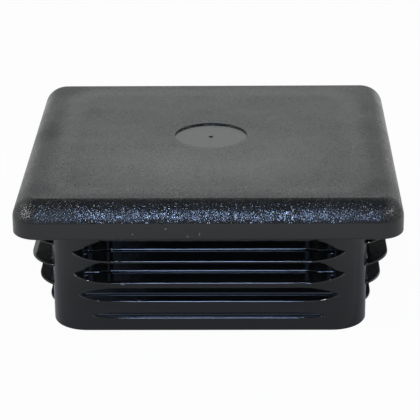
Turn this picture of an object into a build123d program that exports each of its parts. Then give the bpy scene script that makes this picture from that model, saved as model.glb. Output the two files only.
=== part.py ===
"""Square tube end cap: one injection moulding in black plastic, sizes in millimetres.

The hollow plug stands on its rim at z = 0 and the head lies on top of it.
+Z runs from the plug's rim to the head, and the origin is the middle of the rim.
"""
from build123d import *
from math import radians, sqrt, tan
import os

# Head: the visible cover, as wide as the tube's outside
tube_outside = 50.0
head_height = 4.85
head_corner_radius = 3.3
head_edge_radius = 2.9
head_edge_inset = 2.3
head_bottom_round = 0.25

# Gate well near the middle of the head, a little towards +Y, with the stub left by the runner
gate_well_diameter = 10.0
gate_well_depth = 0.22
gate_well_offset = 1.0
gate_stub_diameter = 0.8
gate_stub_height = 0.14

# Plug: the square sleeve that goes into the tube
plug_width = 41.4
plug_depth = 14.7
plug_corner_radius = 4.6
plug_rim_round = 0.3

# Hollow of the plug, with a cross of ribs under the roof
plug_wall = 2.0
roof_thickness = 2.6
hollow_draft = 1.0
hollow_roof_round = 0.8
rib_thickness = 1.3
rib_recess = 5.0

# Fins: four on each side, the two nearest the rim shorter as a lead-in
fin_count = 4
fin_pitch = 3.03
lowest_fin_level = 2.3
lowest_fin_reach = 0.8
fin_reach_step = 1.3
longest_fin_reach = 3.0
fin_straight_length = 24.8
fin_end_radius = 6.0
fin_tip_thickness = 0.25
fin_tip_round = 0.1
fin_droop = 2.5
fin_taper = 17.0
fin_root_radius = 0.2

# Relief in the plug's wall above the fins that have their full reach, run out on an arc at each end
relief_depth = 0.4
relief_end_radius = 4.0

# How far a piece runs into its neighbour before the two are joined, or a cut past the face that it opens
overlap = 0.6

# Sizes that follow from those above
total_height = plug_depth + head_height
head_half = tube_outside / 2
head_arc_rise = sqrt(head_edge_radius**2 - (head_edge_radius - head_edge_inset) ** 2)
head_band_height = head_height - head_arc_rise
plug_half = plug_width / 2
plug_flat_half = plug_half - plug_corner_radius
hollow_width = plug_width - 2 * plug_wall
hollow_depth = total_height - roof_thickness
side_angles = [90 * side for side in range(4)]


def fin_level(index):
    """Height of a fin's upper face where it leaves the wall, counted from the rim."""
    return lowest_fin_level + index * fin_pitch


def fin_reach(index):
    """How far a fin stands out from the wall."""
    return min(longest_fin_reach, lowest_fin_reach + index * fin_reach_step)


def fin_top(index, out):
    """Height of a fin's upper face at a distance out from the wall."""
    return fin_level(index) - out * tan(radians(fin_droop))


def fin_underside(index, out):
    """Height of a fin's tapered lower face at a distance out from the wall."""
    reach = fin_reach(index)
    tip_bottom = fin_top(index, reach) - fin_tip_thickness
    return tip_bottom - (reach - out) * tan(radians(fin_taper))


def fin_half_length(index, out):
    """Half the length of a fin along its side, at a distance out from the wall."""
    return fin_straight_length / 2 + sqrt(fin_end_radius**2 - (fin_end_radius - fin_reach(index) + out) ** 2)


def side_section(outline, x=0.0, rounded_corner=None, radius=0.0):
    """Upright face on the +Y side at x, from points given as (distance out from the wall, height)."""
    points = [(x, plug_half + out, height) for out, height in outline]
    section = make_face(Polyline(points, close=True))
    if rounded_corner:
        corner = Vector(x, plug_half + rounded_corner[0], rounded_corner[1])
        section = fillet(section.vertices().sort_by_distance(corner)[0], radius)
    return section


def side_prism(outline, half_length, rounded_corner=None, radius=0.0):
    """Prism along X on the +Y side, with one of its long edges rounded if asked."""
    section = side_section(outline, 0.0, rounded_corner, radius)
    return extrude(section, half_length, dir=(1, 0, 0), both=True)


def turned_ends(section, out, turn):
    """Both ends of a fin or a cut: its section turned about an upright axis at a distance out from the wall."""
    axis = Axis((fin_straight_length / 2, plug_half + out, 0), (0, 0, turn))
    end = revolve(section, axis, revolution_arc=90)
    return [end, mirror(end, about=Plane.YZ)]


def head_edge_section():
    """Section of the head from a corner's axis out to its face: flat top, crease, arc, upright band."""
    outer = head_corner_radius
    crease = outer - head_edge_inset
    band_top = plug_depth + head_band_height
    centre = (outer - head_edge_radius, band_top)
    # a point half way along the arc, on the line from its centre to the middle of its chord
    middle_x = (outer + crease) / 2 - centre[0]
    middle_z = (band_top + total_height) / 2 - centre[1]
    stretch = head_edge_radius / sqrt(middle_x**2 + middle_z**2)
    on_arc = (centre[0] + middle_x * stretch, centre[1] + middle_z * stretch)
    outline = Curve() + [
        Polyline((crease, total_height), (0, total_height), (0, plug_depth), (outer, plug_depth), (outer, band_top)),
        ThreePointArc((outer, band_top), on_arc, (crease, total_height)),
    ]
    return Plane.XZ * make_face(outline)


def make_head():
    """Head: a square middle, four edge bars and four turned corners that share one section."""
    middle_half = head_half - head_corner_radius
    section = head_edge_section()
    head = Pos(0, 0, plug_depth) * Box(
        2 * middle_half, 2 * middle_half, head_height, align=(Align.CENTER, Align.CENTER, Align.MIN)
    )
    bar = Pos(middle_half, 0, 0) * extrude(section, middle_half, dir=(0, 1, 0), both=True)
    corner = Pos(middle_half, middle_half, 0) * revolve(section, Axis.Z, revolution_arc=90)
    for angle in side_angles:
        head += Rot(0, 0, angle) * bar
        head += Rot(0, 0, angle) * corner
    bottom_edges = head.edges().filter_by_position(Axis.Z, plug_depth, plug_depth)
    return fillet(bottom_edges, head_bottom_round)


def make_plug():
    """Plug before it is hollowed: a rounded square with a softened rim."""
    plug = extrude(RectangleRounded(plug_width, plug_width, plug_corner_radius), plug_depth + overlap)
    rim_edges = plug.edges().filter_by_position(Axis.Z, 0, 0)
    return fillet(rim_edges, plug_rim_round)


def make_fin(index):
    """One fin on the +Y side: a thin wedge whose ends are turned about upright axes and run back into the wall."""
    level = fin_level(index)
    reach = fin_reach(index)
    straight = fin_straight_length / 2
    tip = (reach, fin_top(index, reach))
    outline = [
        (-overlap, fin_underside(index, -overlap)),
        (reach, fin_underside(index, reach)),
        tip,
        (0, level),
        (-overlap, level),
    ]
    fin = side_prism(outline, straight, tip, fin_tip_round)
    # the turned ends carry on into the wall and so close against it
    section = side_section(outline, straight, tip, fin_tip_round)
    fin += turned_ends(section, reach - fin_end_radius, -1)
    return fin + make_fin_root(index)


def make_fin_root(index):
    """Small fillet in the corner between a fin's upper face and the wall."""
    level = fin_level(index)
    reach = min(fin_reach(index), 2 * fin_root_radius)
    sunk = fin_tip_thickness / 2
    top = level + 2 * fin_root_radius
    outline = [(-overlap, level - sunk), (reach, fin_top(index, reach) - sunk), (reach, fin_top(index, reach))]
    outline += [(0, level), (0, top), (-overlap, top)]
    half_length = min(fin_half_length(index, reach), plug_flat_half)
    return side_prism(outline, half_length, (0, level), fin_root_radius)


def make_relief(index):
    """Cut into the wall above a long fin; its turned ends run out through the wall's face."""
    out = 3 * fin_root_radius
    straight = fin_straight_length / 2
    if index + 1 < fin_count:
        ceiling = [(out, fin_underside(index + 1, out)), (-relief_depth, fin_underside(index + 1, -relief_depth))]
    else:
        ceiling = [(out, plug_depth), (-relief_depth, plug_depth)]
    back = (-relief_depth, fin_level(index))
    outline = [back, (0, fin_level(index)), (out, fin_top(index, out))] + ceiling
    cut = side_prism(outline, straight, back, fin_root_radius)
    section = side_section(outline, straight, back, fin_root_radius)
    return cut + turned_ends(section, relief_end_radius - relief_depth, 1)


def make_hollow():
    """Space inside the plug, open at the rim and a little narrower at the roof."""
    hollow_radius = plug_corner_radius - plug_wall
    mouth = RectangleRounded(hollow_width, hollow_width, hollow_radius)
    hollow = extrude(mouth, hollow_depth, taper=hollow_draft)
    roof_edges = hollow.edges().filter_by_position(Axis.Z, hollow_depth, hollow_depth)
    return fillet(roof_edges, hollow_roof_round)


def make_ribs():
    """Cross of two ribs from wall to wall under the roof."""
    height = hollow_depth - rib_recess + overlap
    rib = Pos(0, 0, rib_recess) * Box(
        rib_thickness, hollow_width + plug_wall, height, align=(Align.CENTER, Align.CENTER, Align.MIN)
    )
    return rib + Rot(0, 0, 90) * rib


def make_gate_well():
    """Shallow round well in the head, around the gate stub."""
    floor = total_height - gate_well_depth
    well = Pos(0, gate_well_offset, floor) * Cylinder(
        gate_well_diameter / 2, gate_well_depth + overlap, align=(Align.CENTER, Align.CENTER, Align.MIN)
    )
    stub = Pos(0, gate_well_offset, floor) * Cone(
        gate_stub_diameter / 2, gate_stub_diameter / 4, gate_stub_height,
        align=(Align.CENTER, Align.CENTER, Align.MIN),
    )
    return well - stub


def make_end_cap():
    """The whole moulding."""
    cap = make_plug() + make_head()
    for index in range(fin_count):
        fin = make_fin(index)
        for angle in side_angles:
            cap += Rot(0, 0, angle) * fin
    for index in range(fin_count):
        if fin_reach(index) == longest_fin_reach:
            relief = make_relief(index)
            for angle in side_angles:
                cap -= Rot(0, 0, angle) * relief
    cap -= make_hollow() - make_ribs()
    return cap - make_gate_well()


os.makedirs("parts", exist_ok=True)
end_cap = make_end_cap()
end_cap.label = "end_cap"
export_step(end_cap, "parts/end_cap.step")
print("end_cap", round(end_cap.volume, 1), "mm3,", end_cap.bounding_box().size)
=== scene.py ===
from math import cos, pi, radians, sin
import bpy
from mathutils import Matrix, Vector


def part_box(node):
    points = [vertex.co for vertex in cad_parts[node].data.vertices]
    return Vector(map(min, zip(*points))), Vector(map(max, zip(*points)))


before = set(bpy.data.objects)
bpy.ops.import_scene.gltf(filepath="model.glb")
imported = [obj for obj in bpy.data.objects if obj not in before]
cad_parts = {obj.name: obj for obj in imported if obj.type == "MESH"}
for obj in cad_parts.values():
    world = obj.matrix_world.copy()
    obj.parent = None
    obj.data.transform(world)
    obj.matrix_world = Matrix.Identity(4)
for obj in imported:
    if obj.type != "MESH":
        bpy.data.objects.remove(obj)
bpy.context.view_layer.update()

from types import SimpleNamespace

import bpy
from mathutils import Matrix, Vector

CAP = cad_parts["end_cap"]
_, CAP_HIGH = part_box("end_cap")
MM_PER_M = 1000.0

# Sizes on the moulding that the finishes follow, in millimetres
HEAD_HEIGHT = 4.85
BAND_HEIGHT = 2.0
PLUG_WIDTH = 41.4
PLUG_WALL = 2.0
RELIEF_END = 14.1
LOWER_RELIEF = 8.5
WELL_OFFSET = 1.0
WELL_RADIUS = 5.0
HEAD_TOP = CAP_HIGH.z * MM_PER_M
HEAD_UNDERSIDE = HEAD_TOP - HEAD_HEIGHT
EDGE_ARC_START = HEAD_UNDERSIDE + BAND_HEIGHT
WALL_FACE = PLUG_WIDTH / 2
WALL_LINE = WALL_FACE - PLUG_WALL / 2
WALL_LINE_CORNER = 4.0
WALL_LINE_WIDTH = 2.4

# Form that is shaded and not built, as heights and lengths in millimetres
SWELL_HEIGHT = 0.02
WELL_RIM_HEIGHT = 0.09
TOP_SINK = 0.28
WALL_LINE_SINK = 0.03
SCUFF_HEIGHT = 0.0015
RUN_IN_LENGTH = 2.4
RUN_IN_CURVE = 0.075

# Leans that are shaded and not built, as slopes; the first evens out the droop on the fins' upper faces
FIN_TOP_LEAN = 0.0436
EDGE_FOOT_LEAN = 0.11
CORNER_TURN = 0.09

# Eroded grain: its facets along a millimetre, and their leans as slopes, which are less at the rear
FACETS_PER_MM = 13.0
FACET_LEAN = 0.17
PLUG_FACET_LEAN = 0.004
STRAY_FACET_LEAN = 0.30
REAR_FACET_SHARE = 0.6

# Where each soft change starts and ends, in millimetres
HEAD_START = (HEAD_UNDERSIDE - 0.05, HEAD_UNDERSIDE + 0.25)
GRAIN_START = (EDGE_ARC_START + 0.05, EDGE_ARC_START + 0.55)
EDGE_FOOT_START = (EDGE_ARC_START + 0.1, EDGE_ARC_START + 0.4)
EDGE_FOOT_END = (17.4, 19.0)
TOP_START = (HEAD_TOP - 0.7, HEAD_TOP - 0.05)
CORNER_TURN_START = (13.0, 19.0)
CORNER_TURN_END = (21.3, 23.2)
WELL_SIDE = (WELL_RADIUS - 0.05, WELL_RADIUS)
WELL_RIM = (WELL_RADIUS, WELL_RADIUS + 0.5)
WELL_FRONT_END = (-3.0, 1.0)
ROOT_FILLET = (WALL_FACE + 0.18, WALL_FACE + 0.26)
LOWER_ROOTS_END = (7.0, 9.0)
LEFT_END = (-22.0, -14.0)
RIGHT_END = (16.0, 23.0)
FRONT_TO_REAR = (-22.0, 18.0)
SHINE_END = (-18.0, 8.0)

# How far a face points up, where 1 is straight up: on a fin's upper face, and round the fillet at its root
FIN_TOP_POINTS_UP = 0.97
ROOT_POINTS_UP = (0.05, 0.2)

# Roughness of each finish, and what is added to it or taken off
PLUG_ROUGHNESS = 0.06
BAND_ROUGHNESS = 0.16
GRAIN_ROUGHNESS = 0.24
SPECK_ROUGHNESS = 0.8
LOWER_ROOTS_ADD = 0.55
LEFT_END_ADD = 0.08
RIGHT_END_ADD = 0.04
MARGIN_ADD = 0.03
DULL_PATCH_ADD = 0.06
WALL_LINE_LESS = 0.14
STREAK_RANGE = 0.06
MOTTLE_RANGE_ON_PLUG = 0.05
MOTTLE_RANGE_ON_HEAD = 0.30
COAT_ROUGHNESS = 0.2
FRONT_COAT = 0.36
WELL_COAT = 0.36
SINK_TO_COAT = 1.6
WELL_GRAIN_LESS = 0.8

# Colours, linear
DEEP_BLACK = (0.0020, 0.0020, 0.0022, 1.0)
WORN_BLACK = (0.0040, 0.0040, 0.0042, 1.0)
DUST = (0.30, 0.30, 0.29, 1.0)
FLOOR_COLOUR = (0.58, 0.55, 0.51, 1.0)
HAZE = (0.97, 1.0, 1.0, 1.0)
WHITE = (1.0, 1.0, 1.0, 1.0)

# Dust: its cover, the cells along a millimetre, the share of them with a speck, and a speck's size in cells
DUST_COVER = 0.5
DUST_CELLS_PER_MM = 0.55
DUST_SHARE = 0.10
DUST_SIZE = 0.06

# Single marks: place and reach of each, in millimetres
PALE_MARKS = (
    ((-5.28, -25.0, 16.27), (0.20, 0.3, 0.18)),
    ((-9.47, -25.0, 15.53), (0.16, 0.3, 0.14)),
    ((-2.52, -25.0, 15.24), (0.18, 0.3, 0.14)),
    ((-1.00, -25.0, 15.51), (0.10, 0.3, 0.34)),
    ((-10.97, -23.6, 8.00), (0.42, 0.6, 0.30)),
    ((-11.64, -23.7, 11.25), (0.22, 0.4, 0.14)),
    ((-9.02, -22.8, 5.21), (0.50, 0.4, 0.14)),
)
DULL_PATCHES = (
    ((-22.5, 2.9, 19.5), (3.0, 8.0, 3.0)),
    ((20.6, 2.0, 19.5), (4.0, 9.0, 3.0)),
    ((-21.0, -19.0, 19.5), (5.0, 4.0, 3.0)),
    ((21.5, -18.5, 19.5), (4.5, 4.5, 3.0)),
    ((-1.4, 18.4, 19.5), (1.2, 2.4, 3.0)),
    ((-1.5, -13.4, 19.5), (0.7, 6.0, 3.0)),
    ((0.4, -13.4, 19.5), (0.7, 6.0, 3.0)),
)

# Lamps: name, azimuth and elevation in degrees, width and height in metres, radiance, colour
LAMP_DISTANCE = 0.8
LAMP_TARGET = Vector((0, 0, 0.015))
LAMPS = (
    ("front_softbox", -1.3, 33.5, 0.10, 0.12, 112.0, (0.46, 0.64, 1.0)),
    ("front_left_softbox", -9.0, 27.0, 0.11, 0.24, 1.6, (0.50, 0.68, 1.0)),
    ("front_right_softbox", 11.5, 27.0, 0.11, 0.24, 1.6, (0.50, 0.68, 1.0)),
    ("left_softbox", -72.0, 33.0, 0.08, 0.08, 140.0, (1.0, 1.0, 1.0)),
    ("right_softbox", 72.5, 33.5, 0.08, 0.08, 75.0, (1.0, 1.0, 1.0)),
)

# Floor, in metres, and the glow that the plastic mirrors in it: painted shade under the part and to its
# sides, painted light farther off and behind it
FLOOR_HALF = 1.5
FLOOR_DROP = 0.0001
FLOOR_SEEN_WHITE = 0.96
PAINTED_SHADE_UNDER_PART = 0.05
PAINTED_GLOW_OPEN_FLOOR = 0.80
OPEN_FLOOR_START = (0.035, 0.075)
PAINTED_SHADE_BESIDE_SHARE = 0.75
BESIDE_START = (0.02, 0.07)
PAINTED_GLOW_BEHIND = 0.2
BEHIND_START = (0.04, 0.12)

# Room that the plastic mirrors: levels, and the parts of a unit direction between which they change
HORIZON_LEVEL = 0.66
BACKDROP_LEVEL = 1.24
BACKDROP_RISE = (0.28, 0.46)
BACKDROP_LEFT_SHARE = 0.92
BACKDROP_LEFT = (-0.16, -0.02)
BACKDROP_RIGHT_SHARE = 0.84
BACKDROP_RIGHT = (0.0, 0.14)
FRONT_LEVEL = 0.10
REAR_HALF = (-0.2, 0.5)
LEFT_LEVEL = 0.64
RIGHT_LEVEL = 0.42
LEFT_TO_RIGHT = (-0.6, 0.6)
SIDES_START = (0.3, 0.8)
OVERHEAD_LEVEL = 0.2
OVERHEAD_START = (0.48, 0.76)

# Camera: degrees, metres, and lengths on the render in pixels
CAMERA_AZIMUTH = 1.281
CAMERA_ELEVATION = 21.695
CAMERA_ROLL = -0.623
CAMERA_DISTANCE = 0.26446
CAMERA_TARGET = Vector((0, 0, 0.010))
RENDER_WIDTH = 420
FOCAL_PIXELS = 1894.17
CENTRE_ACROSS = 211.482
CENTRE_DOWN = 201.813
SENSOR_WIDTH = 36.0

VALUE, VECTOR = "NodeSocketFloat", "NodeSocketVector"


class Tree:
    """Adds nodes to a shader tree and joins them; the functions below call it t."""

    def __init__(self, tree):
        self.tree = tree

    def add(self, kind, **settings):
        node = self.tree.nodes.new(kind)
        for name, value in settings.items():
            setattr(node, name, value)
        return node

    def put(self, socket, value):
        if isinstance(value, bpy.types.NodeSocket):
            self.tree.links.new(value, socket)
        elif value is not None:
            socket.default_value = value

    def fill(self, node, **values):
        for name, value in values.items():
            self.put(node.inputs[name.replace("_", " ")], value)
        return node

    def math(self, operation, a, b=None, clamp=False):
        node = self.add("ShaderNodeMath", operation=operation, use_clamp=clamp)
        for socket, value in zip(node.inputs, (a, b)):
            self.put(socket, value)
        return node.outputs[0]

    def product(self, first, *others):
        for other in others:
            first = self.math("MULTIPLY", first, other)
        return first

    def total(self, first, *others):
        for other in others:
            first = self.math("ADD", first, other)
        return first

    def size(self, value):
        return self.math("ABSOLUTE", value)

    def rest_of(self, value):
        """One minus a value."""
        return self.math("SUBTRACT", 1.0, value)

    def vector(self, operation, a, b=None):
        node = self.add("ShaderNodeVectorMath", operation=operation)
        for socket, value in zip(node.inputs, (a, b)):
            self.put(socket, value)
        return node.outputs["Vector"]

    def length(self, vector):
        node = self.add("ShaderNodeVectorMath", operation="LENGTH")
        self.put(node.inputs[0], vector)
        return node.outputs["Value"]

    def scaled(self, vector, factor):
        node = self.add("ShaderNodeVectorMath", operation="SCALE")
        self.put(node.inputs[0], vector)
        self.put(node.inputs["Scale"], factor)
        return node.outputs["Vector"]

    def split(self, vector):
        node = self.add("ShaderNodeSeparateXYZ")
        self.put(node.inputs[0], vector)
        return node.outputs

    def join(self, x, y, z):
        node = self.add("ShaderNodeCombineXYZ")
        for socket, value in zip(node.inputs, (x, y, z)):
            self.put(socket, value)
        return node.outputs[0]

    def step(self, value, low, high, out_low=0.0, out_high=1.0):
        """Smooth change from out_low to out_high while the value goes from low to high."""
        node = self.add("ShaderNodeMapRange", interpolation_type="SMOOTHSTEP")
        self.fill(node, Value=value, From_Min=low, From_Max=high, To_Min=out_low, To_Max=out_high)
        return node.outputs["Result"]

    def noise(self, vector, scale, detail=2.0, roughness=0.5):
        node = self.add("ShaderNodeTexNoise")
        self.fill(node, Vector=vector, Scale=scale, Detail=detail, Roughness=roughness)
        return node.outputs["Fac"]

    def cells(self, vector, scale):
        node = self.add("ShaderNodeTexVoronoi", feature="F1")
        return self.fill(node, Vector=vector, Scale=scale, Randomness=1.0).outputs

    def blend(self, factor, a, b, kind="FLOAT"):
        node = self.add("ShaderNodeMix", data_type=kind)
        found = [s for s in node.inputs if s.enabled]
        for socket, value in zip(found, (factor, a, b)):
            self.put(socket, value)
        return [s for s in node.outputs if s.enabled][0]

    def use(self, group, **values):
        node = self.add("ShaderNodeGroup")
        node.node_tree = group
        return self.fill(node, **values).outputs


def new_group(name, inputs, outputs):
    """Shader node group with named sockets; gives the group, its tree, its inputs and its outputs."""
    group = bpy.data.node_groups.new(name, "ShaderNodeTree")
    for label, kind in inputs:
        group.interface.new_socket(name=label, in_out="INPUT", socket_type=kind)
    for label, kind in outputs:
        group.interface.new_socket(name=label, in_out="OUTPUT", socket_type=kind)
    t = Tree(group)
    return group, t, t.add("NodeGroupInput").outputs, t.add("NodeGroupOutput").inputs


def new_tree(holder):
    """Empty node tree of a material or a world."""
    holder.use_nodes = True
    holder.node_tree.nodes.clear()
    return Tree(holder.node_tree)


def make_grain_group():
    """Skin of tiny facets that spark erosion leaves on a mould: most nearly level, a few far over."""
    group, t, given, out = new_group(
        "eroded_grain",
        [
            ("Place", VECTOR),
            ("Facets per mm", VALUE),
            ("Lean", VALUE),
            ("Stray lean", VALUE),
            ("Normal", VECTOR),
        ],
        [("Normal", VECTOR)],
    )
    cells = t.cells(given["Place"], given["Facets per mm"])
    lean = t.scaled(t.vector("SUBTRACT", cells["Color"], (0.5, 0.5, 0.5)), 2.0)
    square = t.vector("MULTIPLY", lean, lean)
    sixth = t.vector("MULTIPLY", t.vector("MULTIPLY", square, square), square)
    usual = t.scaled(lean, given["Lean"])
    stray = t.scaled(t.vector("MULTIPLY", lean, sixth), given["Stray lean"])
    tilted = t.vector("ADD", given["Normal"], t.vector("ADD", usual, stray))
    t.put(out["Normal"], t.vector("NORMALIZE", tilted))
    return group


def make_ring_group():
    """Band along the line of a rounded square, and all that lies beyond it, as masks."""
    group, t, given, out = new_group(
        "square_ring",
        [("Place", VECTOR), ("Line", VALUE), ("Corner", VALUE), ("Width", VALUE)],
        [("Mask", VALUE), ("Beyond", VALUE)],
    )
    x, y, _ = t.split(given["Place"])
    inner = t.math("SUBTRACT", given["Line"], given["Corner"])
    past_x = t.math("SUBTRACT", t.size(x), inner)
    past_y = t.math("SUBTRACT", t.size(y), inner)
    outside = t.length(t.join(t.math("MAXIMUM", past_x, 0.0), t.math("MAXIMUM", past_y, 0.0), 0.0))
    inside = t.math("MINIMUM", t.math("MAXIMUM", past_x, past_y), 0.0)
    off_line = t.math("SUBTRACT", t.total(outside, inside), given["Corner"])
    t.put(out["Mask"], t.step(t.size(off_line), 0.0, given["Width"], 1.0, 0.0))
    t.put(out["Beyond"], t.step(off_line, t.product(given["Width"], -0.5), t.product(given["Width"], 0.8)))
    return group


def make_dust_group():
    """Sparse specks, as a mask."""
    group, t, given, out = new_group(
        "dust_specks",
        [("Place", VECTOR), ("Cells per mm", VALUE), ("Share", VALUE), ("Size", VALUE)],
        [("Mask", VALUE)],
    )
    cells = t.cells(given["Place"], given["Cells per mm"])
    pick, spread, _ = t.split(cells["Color"])
    chosen = t.math("LESS_THAN", pick, given["Share"])
    reach = t.product(given["Size"], t.total(spread, 0.4))
    spot = t.step(cells["Distance"], t.product(reach, 0.6), reach, 1.0, 0.0)
    t.put(out["Mask"], t.product(spot, chosen))
    return group


def make_spot_group():
    """One mark at a given place, as a mask that fades to its rim."""
    group, t, given, out = new_group(
        "spot_mark", [("Place", VECTOR), ("Spot", VECTOR), ("Reach", VECTOR)], [("Mask", VALUE)]
    )
    off = t.vector("DIVIDE", t.vector("SUBTRACT", given["Place"], given["Spot"]), given["Reach"])
    t.put(out["Mask"], t.step(t.length(off), 0.0, 1.0, 1.0, 0.0))
    return group


def find_zones(t, ring_group):
    """Places on the moulding in millimetres, and masks of where each finish lies."""
    coordinates = t.add("ShaderNodeTexCoord").outputs
    zone = SimpleNamespace(place=t.scaled(coordinates["Object"], MM_PER_M))
    zone.x, zone.y, zone.z = t.split(zone.place)
    zone.points_up = t.split(coordinates["Normal"])[2]
    zone.along = t.math("MINIMUM", t.size(zone.x), t.size(zone.y))
    zone.outward = t.math("MAXIMUM", t.size(zone.x), t.size(zone.y))
    zone.on_x_side = t.math("GREATER_THAN", t.size(zone.x), t.size(zone.y))
    zone.on_y_side = t.rest_of(zone.on_x_side)
    zone.from_gate = t.length(t.join(zone.x, t.math("SUBTRACT", zone.y, WELL_OFFSET), 0.0))

    zone.on_head = t.step(zone.z, *HEAD_START)
    zone.below_head = t.math("LESS_THAN", zone.z, HEAD_UNDERSIDE - 0.02)
    zone.above_band = t.step(zone.z, *GRAIN_START)
    zone.on_top = t.step(zone.z, *TOP_START)
    zone.in_well = t.product(t.step(zone.from_gate, *WELL_SIDE, 1.0, 0.0), zone.on_top)
    zone.textured = t.product(zone.above_band, t.rest_of(t.product(zone.in_well, WELL_GRAIN_LESS)))
    ring = t.use(
        ring_group,
        Place=zone.place,
        Line=WALL_LINE,
        Corner=WALL_LINE_CORNER,
        Width=WALL_LINE_WIDTH,
    )
    zone.wall_line = t.product(ring["Mask"], zone.on_top)
    zone.margin = t.product(ring["Beyond"], zone.on_top)

    def bowl(side):
        share = t.math("MINIMUM", t.math("DIVIDE", t.size(side), WALL_LINE), 1.0)
        return t.rest_of(t.math("POWER", share, 2.0))

    zone.sunk = t.product(bowl(zone.x), bowl(zone.y), zone.on_top)
    return zone


def make_height(t, zone):
    """Height of the form that is shaded and not built, in millimetres."""
    swell = t.product(t.noise(zone.place, scale=0.30, detail=2.0, roughness=0.5), SWELL_HEIGHT)
    rim_height = t.step(zone.y, *WELL_FRONT_END, WELL_RIM_HEIGHT, 0.0)
    rim = t.product(t.step(zone.from_gate, *WELL_RIM), rim_height, zone.on_top)
    sink = t.product(zone.sunk, -TOP_SINK)
    wall_sink = t.product(zone.wall_line, -WALL_LINE_SINK)
    lengthwise = t.vector("MULTIPLY", zone.place, (0.25, 0.25, 1.0))
    scuff = t.product(t.noise(lengthwise, scale=9.0, detail=2.0, roughness=0.6), SCUFF_HEIGHT)

    # the reliefs run out softly, without the crease that the mesh has there
    on_face = t.math("LESS_THAN", zone.outward, WALL_FACE + 0.02)
    on_wall = t.product(on_face, t.math("GREATER_THAN", zone.z, LOWER_RELIEF), zone.below_head)
    before_end = t.math("SUBTRACT", RELIEF_END + RUN_IN_LENGTH, t.math("MAXIMUM", zone.along, RELIEF_END))
    run_in = t.math("POWER", t.math("MAXIMUM", before_end, 0.0), 2.0)
    run_in = t.product(run_in, -RUN_IN_CURVE, on_wall)
    return t.total(swell, rim, sink, wall_sink, scuff, run_in)


def make_lean(t, zone):
    """What is added to the normal where the shading leans away from the mesh."""
    sign_x, sign_y = t.math("SIGN", zone.x), t.math("SIGN", zone.y)
    outwards = t.join(t.product(zone.on_x_side, sign_x), t.product(zone.on_y_side, sign_y), 0.0)
    to_corner = t.join(t.product(zone.on_y_side, sign_x), t.product(zone.on_x_side, sign_y), 0.0)

    # the fins' upper faces are shaded as if they lay level
    off_wall = t.math("GREATER_THAN", zone.outward, WALL_FACE - 0.3)
    on_upper_face = t.math("GREATER_THAN", zone.points_up, FIN_TOP_POINTS_UP)
    on_fin = t.product(on_upper_face, zone.below_head, off_wall)
    level = t.scaled(outwards, t.product(on_fin, -FIN_TOP_LEAN))

    # the rounded edge starts at a slight corner, so its foot already leans upwards
    foot = t.product(t.step(zone.z, *EDGE_FOOT_START), t.step(zone.z, *EDGE_FOOT_END, EDGE_FOOT_LEAN, 0.0))
    lift = t.join(0.0, 0.0, foot)

    # and it begins to turn a little before each corner
    turn_in = t.step(zone.along, *CORNER_TURN_START, 0.0, CORNER_TURN)
    before_corner = t.product(turn_in, t.step(zone.along, *CORNER_TURN_END, 1.0, 0.0))
    on_edge = t.math("SUBTRACT", zone.above_band, zone.on_top, clamp=True)
    turn = t.scaled(to_corner, t.product(before_corner, on_edge))
    return t.vector("ADD", t.vector("ADD", level, lift), turn)


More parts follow.
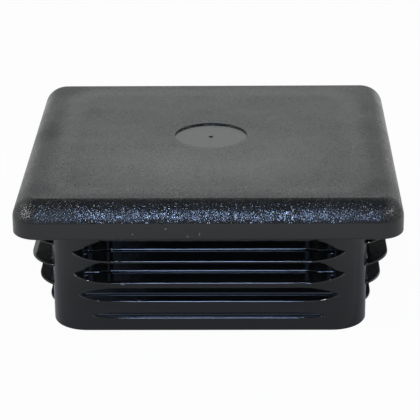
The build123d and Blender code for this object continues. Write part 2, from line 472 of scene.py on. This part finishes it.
def make_plastic():
    """Black moulded plastic: eroded grain on the head, smoother and glossier on the plug and fins."""
    grain, dust, spot = make_grain_group(), make_dust_group(), make_spot_group()
    material = bpy.data.materials.new("black_plastic")
    t = new_tree(material)
    out = t.add("ShaderNodeOutputMaterial")
    shader = t.add("ShaderNodeBsdfPrincipled")
    t.put(out.inputs["Surface"], shader.outputs["BSDF"])
    zone = find_zones(t, make_ring_group())

    def marks(spots):
        mask = 0.0
        for at, reach in spots:
            one = t.use(spot, Place=zone.place, Spot=at, Reach=reach)["Mask"]
            mask = t.math("ADD", mask, one, clamp=True)
        return mask

    # form and grain
    bump = t.add("ShaderNodeBump")
    t.fill(bump, Strength=1.0, Distance=1 / MM_PER_M, Height=make_height(t, zone))
    near = t.step(zone.y, *FRONT_TO_REAR, 1.0, REAR_FACET_SHARE)
    skin = t.use(
        grain,
        Place=zone.place,
        Facets_per_mm=FACETS_PER_MM,
        Lean=t.product(t.blend(zone.textured, PLUG_FACET_LEAN, FACET_LEAN), near),
        Stray_lean=t.product(t.blend(zone.textured, 0.0, STRAY_FACET_LEAN), near),
        Normal=t.vector("ADD", bump.outputs["Normal"], make_lean(t, zone)),
    )
    t.put(shader.inputs["Normal"], skin["Normal"])

    # colour, with dust on it
    mottle = t.noise(zone.place, scale=0.16, detail=4.0, roughness=0.6)
    specks = t.use(
        dust, Place=zone.place, Cells_per_mm=DUST_CELLS_PER_MM, Share=DUST_SHARE, Size=DUST_SIZE
    )
    specks = t.math("MAXIMUM", specks["Mask"], marks(PALE_MARKS))
    black = t.blend(mottle, DEEP_BLACK, WORN_BLACK, "RGBA")
    t.put(shader.inputs["Base Color"], t.blend(t.product(specks, DUST_COVER), black, DUST, "RGBA"))

    # gloss, uneven by mottling and by fine upright streaks where the mould slid off
    upright = t.vector("MULTIPLY", zone.place, (1.0, 1.0, 0.12))
    streaks = t.noise(upright, scale=3.2, detail=2.0, roughness=0.6)
    near_root = t.step(zone.outward, *ROOT_FILLET, 1.0, 0.0)
    in_root = t.product(t.step(zone.points_up, *ROOT_POINTS_UP), near_root)
    left_add = t.step(zone.x, *LEFT_END, LEFT_END_ADD, 0.0)
    right_add = t.step(zone.x, *RIGHT_END, 0.0, RIGHT_END_ADD)
    mottle_range = t.blend(zone.textured, MOTTLE_RANGE_ON_PLUG, MOTTLE_RANGE_ON_HEAD)
    roughness = t.total(
        t.blend(zone.textured, t.blend(zone.on_head, PLUG_ROUGHNESS, BAND_ROUGHNESS), GRAIN_ROUGHNESS),
        t.product(in_root, t.step(zone.z, *LOWER_ROOTS_END, LOWER_ROOTS_ADD, 0.0)),
        t.product(zone.textured, t.total(left_add, right_add)),
        t.product(t.math("SUBTRACT", mottle, 0.5), mottle_range),
        t.product(t.math("SUBTRACT", streaks, 0.5), STREAK_RANGE),
        t.product(zone.wall_line, -WALL_LINE_LESS),
        t.product(zone.margin, MARGIN_ADD),
        t.product(marks(DULL_PATCHES), DULL_PATCH_ADD),
    )
    t.put(shader.inputs["Roughness"], t.blend(specks, roughness, SPECK_ROUGHNESS))

    # a thin shine on the front of the sunk top and in the well
    on_sunk = t.math("MULTIPLY", zone.sunk, SINK_TO_COAT, clamp=True)
    front_shine = t.product(t.step(zone.y, *SHINE_END, FRONT_COAT, 0.0), on_sunk)
    coat = t.math("MAXIMUM", front_shine, t.product(zone.in_well, WELL_COAT))
    t.put(shader.inputs["Coat Weight"], coat)
    shader.inputs["Coat Roughness"].default_value = COAT_ROUGHNESS
    return material


def make_floor():
    """Pale floor that reads white to the camera and keeps a soft shadow; glossy rays see its glow, with
    painted shade under the part and painted light farther off.
    """
    mesh = bpy.data.meshes.new("floor")
    signs = ((-1, -1), (1, -1), (1, 1), (-1, 1))
    corners = [(FLOOR_HALF * a, FLOOR_HALF * b, 0) for a, b in signs]
    mesh.from_pydata(corners, [], [(0, 1, 2, 3)])
    floor = bpy.data.objects.new("floor", mesh)
    floor.location.z = -FLOOR_DROP
    bpy.context.scene.collection.objects.link(floor)
    material = bpy.data.materials.new("floor_white")
    t = new_tree(material)
    out = t.add("ShaderNodeOutputMaterial")
    diffuse = t.add("ShaderNodeBsdfDiffuse")
    diffuse.inputs["Color"].default_value = FLOOR_COLOUR
    glow = t.add("ShaderNodeEmission")
    glow.inputs["Strength"].default_value = 1.0

    # glow that the plastic mirrors, set by place: painted shade under the part, painted light farther off,
    # brightest behind it
    ray = t.add("ShaderNodeLightPath").outputs
    place = t.add("ShaderNodeTexCoord").outputs["Object"]
    x, y, _ = t.split(place)
    away = t.step(t.length(place), *OPEN_FLOOR_START, PAINTED_SHADE_UNDER_PART, PAINTED_GLOW_OPEN_FLOOR)
    painted_glow = t.product(away, t.step(t.size(x), *BESIDE_START, 1.0, PAINTED_SHADE_BESIDE_SHARE))
    painted_glow = t.total(painted_glow, t.step(y, *BEHIND_START, 0.0, PAINTED_GLOW_BEHIND))
    seen_white = t.product(ray["Is Camera Ray"], FLOOR_SEEN_WHITE)
    seen = t.total(seen_white, t.product(ray["Is Glossy Ray"], painted_glow))
    mix = t.add("ShaderNodeMixShader")
    for socket, value in zip(mix.inputs, (seen, diffuse.outputs[0], glow.outputs[0])):
        t.put(socket, value)
    t.put(out.inputs["Surface"], mix.outputs[0])
    mesh.materials.append(material)


def make_world():
    """Bright haze behind the part, darker overhead and in front; plain white for the camera itself."""
    world = bpy.data.worlds.new("studio")
    bpy.context.scene.world = world
    t = new_tree(world)
    out = t.add("ShaderNodeOutputWorld")
    x, y, z = t.split(t.add("ShaderNodeTexCoord").outputs["Generated"])
    from_left = t.step(x, *BACKDROP_LEFT, BACKDROP_LEFT_SHARE, 1.0)
    to_right = t.step(x, *BACKDROP_RIGHT, 1.0, BACKDROP_RIGHT_SHARE)
    backdrop = t.product(t.step(z, *BACKDROP_RISE, HORIZON_LEVEL, BACKDROP_LEVEL), from_left, to_right)
    sides = t.step(x, *LEFT_TO_RIGHT, LEFT_LEVEL, RIGHT_LEVEL)
    front = t.blend(t.step(t.size(x), *SIDES_START), FRONT_LEVEL, sides)
    level = t.blend(t.step(y, *REAR_HALF), front, backdrop)
    level = t.blend(t.step(z, *OVERHEAD_START), level, OVERHEAD_LEVEL)
    room = t.fill(t.add("ShaderNodeBackground"), Color=HAZE, Strength=level)
    white = t.fill(t.add("ShaderNodeBackground"), Color=WHITE, Strength=1.0)
    camera_ray = t.add("ShaderNodeLightPath").outputs["Is Camera Ray"]
    mix = t.add("ShaderNodeMixShader")
    for socket, value in zip(mix.inputs, (camera_ray, room.outputs[0], white.outputs[0])):
        t.put(socket, value)
    t.put(out.inputs["Surface"], mix.outputs[0])


def direction(azimuth, elevation):
    """Unit vector away from the part; azimuth 0 is in front of it, positive to its right."""
    return Vector((sin(azimuth) * cos(elevation), -cos(azimuth) * cos(elevation), sin(elevation)))


def add_softbox(name, azimuth, elevation, width, height, radiance, colour):
    """Area lamp that faces the part."""
    away = direction(radians(azimuth), radians(elevation))
    lamp = bpy.data.lights.new(name, "AREA")
    lamp.shape = "RECTANGLE"
    lamp.size, lamp.size_y = width, height
    lamp.color = colour
    lamp.energy = radiance * width * height * pi
    holder = bpy.data.objects.new(name, lamp)
    holder.location = LAMP_TARGET + away * LAMP_DISTANCE
    holder.rotation_mode = "QUATERNION"
    holder.rotation_quaternion = away.to_track_quat("Z", "Y")
    bpy.context.scene.collection.objects.link(holder)


def make_camera():
    """Camera with a long lens, a little above the head and almost square to the front."""
    azimuth, elevation, roll = radians(CAMERA_AZIMUTH), radians(CAMERA_ELEVATION), radians(CAMERA_ROLL)
    away = direction(azimuth, elevation)
    level_right = Vector((cos(azimuth), sin(azimuth), 0))
    level_up = level_right.cross(-away)
    right = level_right * cos(roll) + level_up * sin(roll)
    up = -level_right * sin(roll) + level_up * cos(roll)
    data = bpy.data.cameras.new("camera")
    data.sensor_width = SENSOR_WIDTH
    data.lens = SENSOR_WIDTH * FOCAL_PIXELS / RENDER_WIDTH
    data.shift_x = (RENDER_WIDTH / 2 - CENTRE_ACROSS) / RENDER_WIDTH
    data.shift_y = (CENTRE_DOWN - RENDER_WIDTH / 2) / RENDER_WIDTH
    data.clip_start = 0.01
    camera = bpy.data.objects.new("camera", data)
    turn = Matrix((right, up, away)).transposed().to_4x4()
    camera.matrix_world = Matrix.Translation(CAMERA_TARGET + away * CAMERA_DISTANCE) @ turn
    bpy.context.scene.collection.objects.link(camera)
    bpy.context.scene.camera = camera


CAP.data.materials.clear()
CAP.data.materials.append(make_plastic())
make_floor()
make_world()
for lamp in LAMPS:
    add_softbox(*lamp)
make_camera()
bpy.context.scene.view_settings.view_transform = "Standard"
